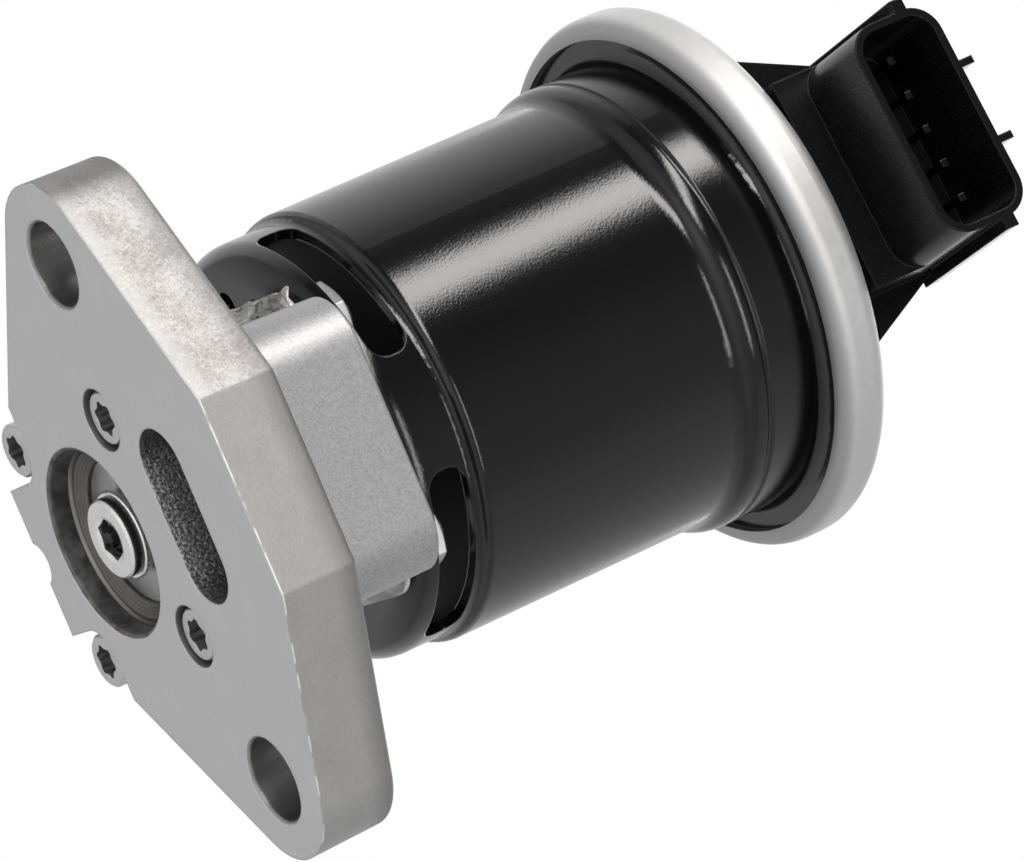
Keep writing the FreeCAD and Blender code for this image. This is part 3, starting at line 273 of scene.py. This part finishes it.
def distance_pair(finish, x, y):
    """Millimetres from the nearer of two such lines, one at x and one at minus x."""
    return ((abs(finish.x) - x) ** 2.0 + (finish.y - y) ** 2.0) ** 0.5


flange = Finish("flange_steel", Metallic=1.0)
bore_radius = 10.4
port_y, port_half_width, port_half_length = 20.45, 4.2, 9.35
bolt_x, bolt_y, bolt_radius = 27.5, 15.4, 4.8
screw_x = screw_y = 11.6
sink_radius = 3.6
face = flange.z.within(0.07, blend=0.05)
wall = 1 - face
bore = distance(flange, 0, 0).within(bore_radius)
port = (abs(flange.y - port_y).within(port_half_width)
        * abs(flange.x).within(port_half_length, blend=0.15))
bolt = distance_pair(flange, bolt_x, bolt_y).within(bolt_radius)
sink = distance_pair(flange, screw_x, screw_y).within(sink_radius)

grain = flange.noise(0.16, 2.0, 0.6)
mottle = flange.noise(7.0, 4.0, 0.6)
streaks = flange.noise(1.0, 3.0, 0.6, flange.stretched(0.14, 1.4, 1.0))
ground = flange.mix(mottle * 0.6 + streaks * 0.4, (0.47, 0.475, 0.49), (0.58, 0.58, 0.585))

# The blasted sides. Their texture is boldest on the slope towards +X, which carries a painted
# highlight near the face. Painted shade darkens the end of the +X ear and the rear edge, and a
# painted glint runs along the front edge.
tangle = flange.noise(0.42, 4.0, 0.7, twist=1.2) * 0.7 + flange.noise(3.6, 2.0, 0.5) * 0.3
sideways, forwards, _ = flange.facing()
slope = sideways.step(0.25, 0.45) * forwards.step(0.25, 0.45)
texture = tangle.step(0.38, 0.62) * slope + tangle * (1 - slope)
blasted = flange.mix(texture, (0.335, 0.322, 0.31), (0.535, 0.525, 0.515))
with_painted_highlight = flange.mix((1 - flange.z.step(0.8, 3.0)) * slope * 0.5, blasted, (0.60, 0.59, 0.58))
shaded = flange.mix(sideways.step(0.54, 0.80) * 0.6, with_painted_highlight, (0.15, 0.145, 0.14))
painted_glint = (1 - flange.z.step(0.12, 0.3)) * (1 - slope) * flange.noise(3.0, 2.0).step(0.42, 0.58)
with_painted_glint = flange.mix(painted_glint, shaded, (0.92, 0.91, 0.90))
sides = flange.mix(flange.z.step(5.5, 8.9) * 0.6, with_painted_glint, (0.19, 0.185, 0.18))

scale_specks = flange.noise(0.34, 3.0, 0.65).step(0.40, 0.66)
# Towards the port's ends and deeper into it the light specks thin out: painted shade.
port_ends = 1 - abs(flange.x).step(5.0, 8.0) * 0.8
port_depth = 1 - flange.z.step(0.5, 3.5) * 0.4
forged_wall = flange.mix(
    scale_specks * port_ends * port_depth, (0.12, 0.12, 0.12), (0.80, 0.79, 0.78))
turned_wall = flange.mix(
    flange.noise(1.5, 3.0).step(0.3, 0.7), (0.10, 0.095, 0.09), (0.22, 0.215, 0.21))
drilled_wall = flange.mix(
    flange.noise(1.6, 2.0, 0.5, flange.stretched(1.0, 1.0, 0.2)),
    (0.20, 0.195, 0.19), (0.46, 0.45, 0.44))
# The sides inside the counterbores are painted dark grey: painted shade in the gaps round the screw
# heads.
with_sinks = flange.mix(face, flange.mix(sink, sides, (0.22, 0.22, 0.22)), ground)
with_bore = flange.mix(bore * wall, with_sinks, turned_wall)
with_holes = flange.mix(bolt * wall, with_bore, drilled_wall)
port_relief = flange.relief(
    flange.noise(0.5, 3.0, 0.6) * port * wall, 0.22, flange.soft_edges(0.5))
flange.set(
    Base_Color=flange.mix(port * wall, with_holes, forged_wall),
    Roughness=0.38 + grain * 0.06 + wall * (1 - bolt) * 0.25,
    Normal=flange.relief(grain + flange.noise(0.5, 2.0) * 1.5, 0.02, port_relief),
)
dress("mounting_flange", flange)


# The flange gasket. A thin sheet of graphite, cut to the body's outline and clamped between the
# flange and the casting by the four screws, so that only its edge shows.
graphite = Finish("graphite_sheet", Metallic=0.2, Roughness=0.75)
graphite.set(Base_Color=graphite.mix(graphite.noise(0.5), (0.05, 0.05, 0.05), (0.16, 0.155, 0.15)))
dress("body_gasket", graphite)


# The valve body. Light grey die-cast metal with rounded corners, left as it came from the mould:
# smooth, faintly clouded and dotted in patches with fine dark pores.
cast = Finish("cast_skin", Metallic=0.85)
cast_cloud = cast.noise(0.28, 4.0, 0.75)
cast_patches = cast.noise(2.4, 2.0).step(0.42, 0.62)
cast_pores = cast.pits(0.26).within(0.22, blend=0.14) * cast_patches
cast_body = cast.mix(cast_cloud.step(0.36, 0.64), (0.34, 0.34, 0.345), (0.44, 0.44, 0.445))
cast.set(
    Base_Color=cast.mix(cast_pores * 0.45, cast_body, (0.17, 0.165, 0.16)),
    Roughness=0.46 + cast_cloud * 0.08,
    Normal=cast.relief(cast_cloud - cast_pores, 0.009, cast.soft_edges(0.4)),
)
dress("valve_body", cast)


# The heat gasket under the can. Pale fibre sheet with a foil skin, clamped with the body; its
# free edge past the casting is crumpled, and so is the strip across its +Y end.
fibre = Finish("fibre_sheet", Metallic=0.6)
fibre_grain = fibre.noise(1.4, 3.0, 0.6, fibre.stretched(1.6, 0.35, 2.0))
fibre.set(
    Base_Color=fibre.mix(fibre_grain.step(0.35, 0.68), (0.40, 0.385, 0.36), (0.70, 0.685, 0.655)),
    Roughness=0.32 + fibre_grain * 0.2,
    Normal=fibre.relief(fibre_grain, 0.15),
)
dress("insulator_gasket", fibre)

wrinkles = bpy.data.textures.new("gasket_wrinkles", "CLOUDS")
wrinkles.noise_scale = 0.0022
wrinkles.noise_depth = 2
crumple_width, crumple_length = 0.0018, 0.0185
crumple_middle = (0.0153, 0.0076, 0.02145)
held_to_x, held_to_y = 0.0149, 0.0140
bpy.ops.mesh.primitive_grid_add(x_subdivisions=14, y_subdivisions=90, size=1)
crumple = bpy.context.object
crumple.name = "gasket_crumpled_edge"
bpy.ops.object.mode_set(mode="EDIT")
bpy.ops.mesh.select_all(action="SELECT")
bpy.ops.transform.resize(value=(crumple_width, crumple_length, 1), center_override=(0, 0, 0))
bpy.ops.transform.translate(value=crumple_middle)
bpy.ops.mesh.select_all(action="DESELECT")
bpy.ops.object.mode_set(mode="OBJECT")
for point in crumple.data.vertices:
    point.select = point.co.x > held_to_x or point.co.y > held_to_y
bpy.ops.object.mode_set(mode="EDIT")
bpy.ops.object.vertex_group_add()
bpy.ops.object.vertex_group_assign()
bpy.ops.object.mode_set(mode="OBJECT")
for name, axis, strength in (("lift", "Z", 0.0026), ("creep", "X", 0.0014)):
    shift = crumple.modifiers.new(name, "DISPLACE")
    shift.texture = wrinkles
    shift.texture_coords = "LOCAL"
    shift.vertex_group = crumple.vertex_groups[0].name
    shift.direction = axis
    shift.mid_level = 0.5
    shift.strength = strength
sheet = crumple.modifiers.new("thickness", "SOLIDIFY")
sheet.thickness = 0.00022
sheet.offset = 0
for modifier in ("lift", "creep", "thickness"):
    bpy.ops.object.modifier_apply(modifier=modifier)
bpy.ops.object.shade_smooth_by_angle(angle=0.9)
crumple.data.materials.append(fibre.material)
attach(crumple, "housing")


# The valve seat. A turned ring pressed into the flange, stained brown by soot, with turning rings
# near its rim that are painted bright as highlights. The valve disc lies behind its throat.
seat = Finish("sooty_steel", Metallic=1.0)
seat_reach = distance(seat, 0, 0)
radians_per_millimetre = 19.0
near_rim = 0.15 + seat_reach.step(9.3, 9.8) * 0.85
turning_rings_and_highlights = (seat_reach * radians_per_millimetre).wave() * near_rim
soot = seat.noise(2.4, 4.0, 0.6)
sooted = seat.mix(soot, (0.06, 0.055, 0.05), (0.15, 0.14, 0.13))
seat.set(
    Base_Color=seat.mix(turning_rings_and_highlights, sooted, (0.36, 0.345, 0.325)),
    Roughness=0.26 + soot * 0.2,
    Normal=seat.relief(turning_rings_and_highlights, 0.01),
)
dress("valve_seat", seat)

disc = Finish("disc_steel", Metallic=1.0)
disc_stain = disc.noise(3.0, 3.0)
disc.set(
    Base_Color=disc.mix(disc_stain, (0.36, 0.35, 0.34), (0.52, 0.51, 0.50)),
    Roughness=0.34 + disc_stain * 0.1,
)
dress("valve_disc", disc)


# The washer and the socket screw on the valve's stem. Both are clean bright steel. The screw's
# hexagon socket and the flank round its head are painted dark as shade, with painted glints in
# patches inside the socket.
bright = Finish("bright_steel", Metallic=1.0)
bright_wear = bright.noise(1.6, 3.0)
bright.set(
    Base_Color=bright.mix(bright_wear, (0.70, 0.69, 0.68), (0.82, 0.81, 0.80)),
    Roughness=0.22 + bright_wear * 0.12,
    Normal=bright.soft_edges(0.12),
)
dress("valve_washer", bright)

socket_screw = Finish("shaded_socket_screw", Metallic=1.0)
socket_wear_and_glints = socket_screw.noise(1.1, 3.0)
socket_reach = distance(socket_screw, 0, 0)
behind_face = socket_screw.z.step(1.0, 1.5)
socket_radius, head_radius = 2.95, 4.0
socket = behind_face * socket_reach.within(socket_radius, blend=0.05)
flank = behind_face * socket_reach.step(head_radius - 0.1, head_radius + 0.1)
clean = socket_screw.mix(socket_wear_and_glints, (0.66, 0.65, 0.64), (0.80, 0.79, 0.78))
# Painted shade inside the socket, broken by patches painted bright as glints.
inside = socket_screw.mix(socket_wear_and_glints.step(0.45, 0.55), (0.14, 0.135, 0.13), (0.62, 0.61, 0.60))
socket_screw.set(
    Base_Color=socket_screw.mix(
        flank, socket_screw.mix(socket, clean, inside), (0.10, 0.098, 0.095)),
    Roughness=0.22 + socket_wear_and_glints * 0.12,
    Normal=socket_screw.soft_edges(0.12),
)
dress("valve_screw", socket_screw)


# The clamp screws. Four plated steel screws that hold flange, body and can together. Their heads
# are sunk in the flange and have six-lobed recesses, painted darker inside as shade.
screw = Finish("plated_screw", Metallic=1.0)
screw_wear = screw.noise(0.9, 3.0)
recess_painted_shade = screw.z.step(0.5, 1.7)
screw_head = screw.mix(screw_wear, (0.44, 0.44, 0.44), (0.58, 0.58, 0.58))
screw.set(
    Base_Color=screw.mix(recess_painted_shade, screw_head, (0.30, 0.295, 0.29)),
    Roughness=0.26 + screw_wear * 0.15,
    Normal=screw.soft_edges(0.1),
)
dress("flange_screws", screw)


# The nuts behind the can's windows. Plated steel, as the armature's own nut is, with painted shade
# on the flats that face +X, which is upwards in the camera's view.
nut = Finish("plated_nut", Metallic=1.0)
nut_wear = nut.noise(0.8, 3.0)
nut_plate = nut.mix(nut_wear, (0.82, 0.82, 0.83), (0.94, 0.94, 0.95))
nut_sideways = nut.facing()[0]
nut.set(
    Base_Color=nut.mix(nut_sideways.step(0.3, 0.7), nut_plate, (0.42, 0.42, 0.425)),
    Roughness=0.50 + nut_wear * 0.08,
    Normal=nut.soft_edges(0.25),
)
dress("cover_nuts", nut)
dress("armature_nut", nut)


# The stem with its bush and seal. A ground steel rod slides in a bush of sintered bronze, under a
# rubber lip. The cap's seal ring is of the same rubber.
ground_steel = Finish("ground_steel", Metallic=1.0, Roughness=0.2)
ground_steel.set(Base_Color=ground_steel.mix(
    ground_steel.noise(1.5), (0.50, 0.50, 0.50), (0.62, 0.62, 0.62)))
dress("valve_stem", ground_steel)

bronze = Finish("sintered_bronze", Metallic=1.0, Roughness=0.45)
bronze.set(Base_Color=bronze.mix(bronze.noise(0.3), (0.42, 0.27, 0.12), (0.58, 0.42, 0.22)))
dress("stem_guide", bronze)

rubber = Finish("seal_rubber", Roughness=0.6)
rubber.set(Base_Color=rubber.mix(
    rubber.noise(0.6), (0.012, 0.012, 0.012), (0.035, 0.035, 0.035)))
dress("stem_seal", rubber)
dress("cap_seal", rubber)


# The solenoid's can. Drawn steel sheet under black gloss paint, which has a fine orange peel
# and is rounded off along the cut edges of the windows.
paint = Finish("black_gloss", Specular_IOR_Level=0.5, Roughness=0.13)
paint_flow = paint.noise(0.26, 3.0, 0.6)
paint.set(
    Base_Color=paint.mix(paint.noise(6.0), (0.0022, 0.0022, 0.0024), (0.004, 0.004, 0.0042)),
    Normal=paint.relief(paint_flow, 0.016, paint.soft_edges(0.25)),
)
dress("solenoid_cover", paint)


# The solenoid in the can and the lift sensor in the cap: turned pole pieces, brass tube and
# contacts, moulded bobbin, plunger and guide, enamelled wire and a ceramic board. The lower pole
# plate, which shows through the windows, is painted near black as shade.
shaded_pole_plate = Finish("pole_plate_painted_shade", Metallic=0.3, Roughness=0.5)
shaded_pole_plate.set(Base_Color=shaded_pole_plate.mix(
    shaded_pole_plate.noise(1.6), (0.010, 0.010, 0.011), (0.020, 0.020, 0.022)))
dress("lower_pole", shaded_pole_plate)

pole = Finish("pole_steel", Metallic=1.0, Roughness=0.35)
pole.set(Base_Color=pole.mix(pole.noise(2.0), (0.34, 0.34, 0.34), (0.48, 0.48, 0.48)))
for node in ("upper_pole", "armature"):
    dress(node, pole)

brass = Finish("drawn_brass", Metallic=1.0, Roughness=0.25)
brass.set(Base_Color=brass.mix(brass.noise(1.4), (0.62, 0.44, 0.18), (0.78, 0.60, 0.30)))
for node in ("guide_tube", "coil_contacts", "sensor_wiper"):
    dress(node, brass)

moulding = Finish("pale_moulding", Roughness=0.5)
moulding.set(Base_Color=moulding.mix(moulding.noise(1.2), (0.50, 0.48, 0.40), (0.62, 0.60, 0.52)))
for node in ("coil_bobbin", "plunger_guide", "sensor_plunger"):
    dress(node, moulding)

wire = Finish("enamelled_wire", Metallic=0.9, Roughness=0.3)
wire_pitch = 0.5
turns = (wire.z * (2 * math.pi / wire_pitch)).wave()
wire.set(
    Base_Color=wire.mix(turns, (0.20, 0.06, 0.02), (0.62, 0.25, 0.09)),
    Normal=wire.relief(turns, 0.12),
)
dress("coil_winding", wire)

board = Finish("ceramic_board", Roughness=0.4)
track_x, track_half_width = 1.2, 0.8
track = abs(board.x - track_x).within(track_half_width)
board.set(Base_Color=board.mix(track, (0.72, 0.72, 0.68), (0.03, 0.03, 0.03)))
dress("sensor_board", board)


# The two springs. Round steel wire, wound on a mandrel. Each is wound here once more, in place of
# the part's own, as a coil fixed to the housing; the real one shortens towards its upper end as the
# valve lifts.
spring = Finish("spring_wire", Metallic=1.0, Roughness=0.3)
spring.set(Base_Color=spring.mix(spring.noise(0.5), (0.42, 0.42, 0.42), (0.58, 0.58, 0.58)))
wire_sides = 16
for name, joint, foot, head, coil_radius, wire_radius, turns_wound in (
        ("return_spring", "valve_lift", 0.0470, 0.0596, 0.0044, 0.0005, 6),
        ("sensor_spring", "sensor_travel", 0.0790, 0.0896, 0.0023, 0.0003, 7)):
    bpy.ops.mesh.primitive_circle_add(vertices=wire_sides, radius=wire_radius)
    coil = bpy.context.object
    coil.name = name + "_coil"
    bpy.ops.object.mode_set(mode="EDIT")
    bpy.ops.mesh.select_all(action="SELECT")
    bpy.ops.transform.rotate(value=math.pi / 2, orient_axis="X", center_override=(0, 0, 0))
    bpy.ops.transform.translate(value=(coil_radius, 0, foot + wire_radius))
    bpy.ops.object.mode_set(mode="OBJECT")
    winding = coil.modifiers.new("winding", "SCREW")
    winding.axis = "Z"
    winding.steps = winding.render_steps = 32
    winding.iterations = turns_wound
    winding.screw_offset = (head - foot - 2 * wire_radius) / turns_wound
    bpy.ops.object.modifier_apply(modifier="winding")
    bpy.ops.object.mode_set(mode="EDIT")
    bpy.ops.mesh.select_all(action="SELECT")
    bpy.ops.mesh.fill_holes(sides=wire_sides)
    bpy.ops.mesh.normals_make_consistent(inside=False)
    bpy.ops.object.mode_set(mode="OBJECT")
    bpy.ops.object.shade_smooth_by_angle(angle=0.9)
    coil.data.materials.append(spring.material)
    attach(coil, "housing")
    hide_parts(name)
    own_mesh(coil)


# The crimp ring. Satin plated steel, rolled round the can's rim and the cap's edge. Where it is
# bent in on the can it is painted cooler and darker: painted shade.
ring = Finish("satin_plate", Metallic=1.0)
ring_flow = ring.noise(1.0, 3.0, 0.55)
ring_plate = ring.mix(ring_flow, (0.57, 0.565, 0.56), (0.68, 0.675, 0.67))
past_bend_unshaded = ring.z.step(71.6, 72.7)
ring.set(
    Base_Color=ring.mix(past_bend_unshaded, (0.40, 0.405, 0.415), ring_plate),
    Roughness=0.60 + ring_flow * 0.06,
    Normal=ring.relief(ring_flow, 0.012),
)
dress("crimp_ring", ring)


# The sensor cap with its socket. One moulding in black plastic with a faint satin grain, held on
# the can by the crimp ring.
plastic = Finish("black_moulding", Specular_IOR_Level=0.19)
plastic_grain = plastic.noise(0.25, 2.0, 0.5)
plastic.set(
    Base_Color=plastic.mix(plastic_grain, (0.003, 0.003, 0.003), (0.007, 0.007, 0.008)),
    Roughness=0.24 + plastic_grain * 0.06,
    Normal=plastic.relief(plastic_grain, 0.004, plastic.soft_edges(0.3)),
)
dress("sensor_cap", plastic)


# The connector's pins. Square brass pins under a tin coat, pressed into the cap. They are toned
# dark, as they look in the shade of the socket.
tin = Finish("tinned_brass", Metallic=1.0, Roughness=0.2)
tin.set(
    Base_Color=tin.mix(tin.noise(0.7), (0.03, 0.029, 0.028), (0.07, 0.068, 0.065)),
    Normal=tin.soft_edges(0.15),
)
dress("connector_terminals", tin)


# The floor. A plain pale sheet, well below the valve because the photograph looks up at it. From
# there only its reflection shows.
floor_drop = 0.62
bpy.ops.mesh.primitive_plane_add(size=8, location=(0, 0, -floor_drop))
floor = bpy.context.object
floor.name = "studio_floor"
floor_paper = Finish("floor_paper", Roughness=0.9)
floor_paper.set(Base_Color=(0.85, 0.85, 0.85))
floor.data.materials.append(floor_paper.material)
